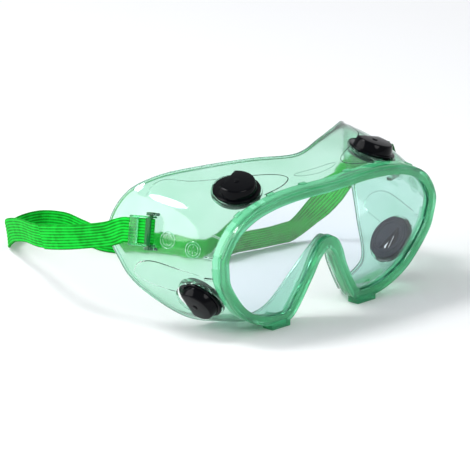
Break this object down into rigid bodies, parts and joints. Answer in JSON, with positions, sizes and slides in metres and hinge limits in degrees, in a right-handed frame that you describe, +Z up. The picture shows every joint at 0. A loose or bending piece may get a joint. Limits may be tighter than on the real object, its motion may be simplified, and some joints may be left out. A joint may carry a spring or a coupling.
{
  "type": "safety goggles",
  "caption": "Splash goggles with a soft clear-green frame around a flat lens, button vents that turn, hinged strap buckles and an elastic head strap.",
  "frame": {"origin": "middle of the bounding box, on the surface that the goggles rest on", "axes": "+Z up, +Y from the lens towards the strap, +X towards the wearer's left"},
  "size_m": [0.1994, 0.223, 0.087],
  "materials": {
    "frame_pvc": "soft clear green PVC, polished",
    "lens_polycarbonate": "clear polycarbonate, polished",
    "vent_plastic": "black, glossy",
    "buckle_plastic": "clear green, polished",
    "pin_plastic": "dark green, satin",
    "strap_webbing": "ribbed elastic webbing"
  },
  "bodies": {
    "frame": {"mask_frame": "frame_pvc", "lens": "lens_polycarbonate", "buckle_pin_left": "pin_plastic", "buckle_pin_right": "pin_plastic", "strap": "strap_webbing"},
    "vent_top_left": {"vent_cap_top_left": "vent_plastic", "vent_seat_top_left": "vent_plastic"},
    "vent_lower_left": {"vent_cap_lower_left": "vent_plastic", "vent_seat_lower_left": "vent_plastic"},
    "vent_top_right": {"vent_cap_top_right": "vent_plastic", "vent_seat_top_right": "vent_plastic"},
    "vent_lower_right": {"vent_cap_lower_right": "vent_plastic", "vent_seat_lower_right": "vent_plastic"},
    "slide_buckle_left": {"buckle_left": "buckle_plastic"},
    "slide_buckle_right": {"buckle_right": "buckle_plastic"}
  },
  "joints": [
    {"name": "vent_top_left_turn", "type": "hinge", "parent": "frame", "child": "vent_top_left", "pos_m": [0.05179, -0.08884, 0.0771], "axis": [0.2494, -0.1995, 0.9476], "continuous": true},
    {"name": "vent_lower_left_turn", "type": "hinge", "parent": "frame", "child": "vent_lower_left", "pos_m": [0.07359, -0.08374, 0.0216], "axis": [0.7901, -0.06, -0.6101], "continuous": true},
    {"name": "vent_top_right_turn", "type": "hinge", "parent": "frame", "child": "vent_top_right", "pos_m": [-0.05181, -0.08884, 0.0771], "axis": [-0.2494, -0.1995, 0.9476], "continuous": true},
    {"name": "vent_lower_right_turn", "type": "hinge", "parent": "frame", "child": "vent_lower_right", "pos_m": [-0.07361, -0.08374, 0.0216], "axis": [-0.7901, -0.06, -0.6101], "continuous": true},
    {"name": "buckle_left_swing", "type": "hinge", "parent": "frame", "child": "slide_buckle_left", "pos_m": [0.09271, -0.06451, 0.05867], "axis": [0.265, -0.1508, -0.9524], "range_deg": [0, 25], "deforming": ["strap"]},
    {"name": "buckle_right_swing", "type": "hinge", "parent": "frame", "child": "slide_buckle_right", "pos_m": [-0.09273, -0.06451, 0.05867], "axis": [0.265, 0.1508, 0.9524], "range_deg": [0, 25], "deforming": ["strap"]}
  ]
}
